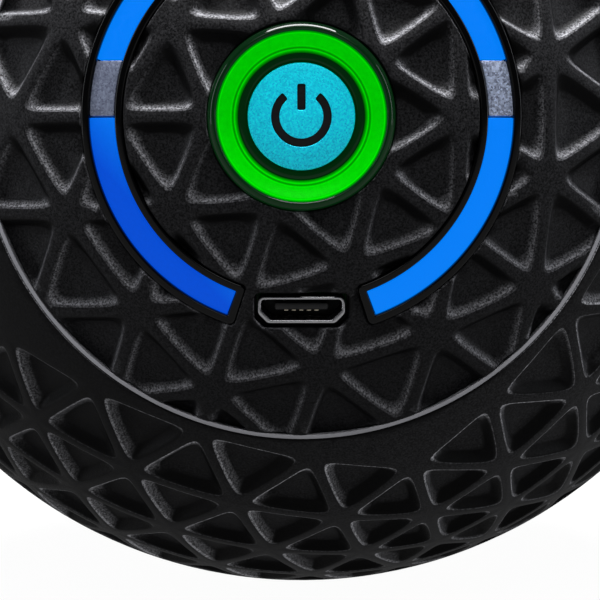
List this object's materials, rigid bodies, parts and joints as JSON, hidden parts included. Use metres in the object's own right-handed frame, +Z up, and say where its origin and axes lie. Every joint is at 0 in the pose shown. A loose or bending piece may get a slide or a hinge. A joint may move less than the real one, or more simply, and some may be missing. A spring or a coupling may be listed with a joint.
{
  "type": "massage ball",
  "caption": "Black textured vibrating massage ball with a front push button, a green ring around it, a blue indicator ring and a micro-size charging socket.",
  "frame": {"origin": "centre of the ball", "axes": "-Y out through the button along its axis; +Z up, from the charging socket towards the button; +X to the right as seen from the front"},
  "size_m": [0.096, 0.096, 0.096],
  "materials": {
    "sleeve_silicone": "satin",
    "pad_silicone": "satin",
    "ring_grey": "satin",
    "shell_plastic": "matte",
    "carrier_plastic": "matte",
    "frame_black": "satin",
    "blue_light": "satin",
    "spacer_grey": "satin",
    "bezel_gloss": "gloss",
    "green_light": "satin",
    "button_cyan": "satin",
    "switch_plastic": "matte",
    "socket_steel": "polished",
    "insulator_black": "matte",
    "contact_gold": "polished",
    "board_green": "satin",
    "led_body": "gloss",
    "chip_black": "matte",
    "header_white": "satin",
    "capacitor_tan": "satin",
    "can_steel": "satin",
    "end_cap_plastic": "satin",
    "bush_bronze": "satin",
    "magnet_dark": "matte",
    "shaft_steel": "polished",
    "core_steel": "satin",
    "winding_copper": "gloss",
    "weight_steel": "satin",
    "chassis_plastic": "matte",
    "wrap_blue": "gloss",
    "strip_nickel": "satin",
    "foam_grey": "matte",
    "screw_steel": "satin",
    "lead_red": "satin",
    "lead_black": "satin"
  },
  "bodies": {
    "ball": {"battery_cell": "can_steel", "battery_foam_pads": "foam_grey", "battery_header": "header_white", "battery_lead_negative": "lead_black", "battery_lead_positive": "lead_red", "battery_strips": "strip_nickel", "battery_tray": "chassis_plastic", "battery_wrap": "wrap_blue", "board_capacitors": "capacitor_tan", "board_screws": "screw_steel", "button_bezel": "bezel_gloss", "button_guide": "frame_black", "button_leds": "led_body", "button_light_ring": "green_light", "cap_screws": "screw_steel", "charger_chip": "chip_black", "chassis": "chassis_plastic", "chassis_screws": "screw_steel", "control_board": "board_green", "controller_chip": "chip_black", "front_cap": "carrier_plastic", "front_cap_pad": "pad_silicone", "front_shell": "shell_plastic", "indicator_frame": "frame_black", "indicator_leds": "led_body", "indicator_spacers": "spacer_grey", "light_arc_lower_left": "blue_light", "light_arc_lower_right": "blue_light", "light_arc_upper_left": "blue_light", "light_arc_upper_right": "blue_light", "motor_bushes": "bush_bronze", "motor_can": "can_steel", "motor_driver_chip": "chip_black", "motor_end_cap": "end_cap_plastic", "motor_header": "header_white", "motor_lead_negative": "lead_black", "motor_lead_positive": "lead_red", "motor_magnets": "magnet_dark", "motor_straps": "chassis_plastic", "motor_terminals": "contact_gold", "outer_sleeve": "sleeve_silicone", "rear_shell": "shell_plastic", "shell_screws": "screw_steel", "sleeve_retaining_ring": "ring_grey", "socket_contacts": "contact_gold", "socket_insulator": "insulator_black", "socket_shell": "socket_steel", "strap_screws": "screw_steel", "switch_housing": "switch_plastic"},
    "button": {"button_cap": "button_cyan"},
    "plunger": {"switch_plunger": "switch_plastic"},
    "rotor": {"motor_shaft": "shaft_steel", "motor_armature": "core_steel", "motor_windings": "winding_copper", "commutator": "winding_copper", "eccentric_weight_left": "weight_steel", "eccentric_weight_right": "weight_steel"}
  },
  "joints": [
    {"name": "button_press", "type": "slide", "parent": "ball", "child": "button", "axis": [0, 1, 0], "range_m": [0, 0.0004], "stiffness_N_per_m": 3500, "springref_m": -0.0002},
    {"name": "plunger_press", "type": "slide", "parent": "ball", "child": "plunger", "axis": [0, 1, 0], "range_m": [0, 0.0004]},
    {"name": "rotor_spin", "type": "hinge", "parent": "ball", "child": "rotor", "pos_m": [0, -0.012, 0], "axis": [1, 0, 0], "continuous": true}
  ],
  "couplings": [
    {"joint": "plunger_press", "follows": "button_press", "ratio": 1}
  ]
}
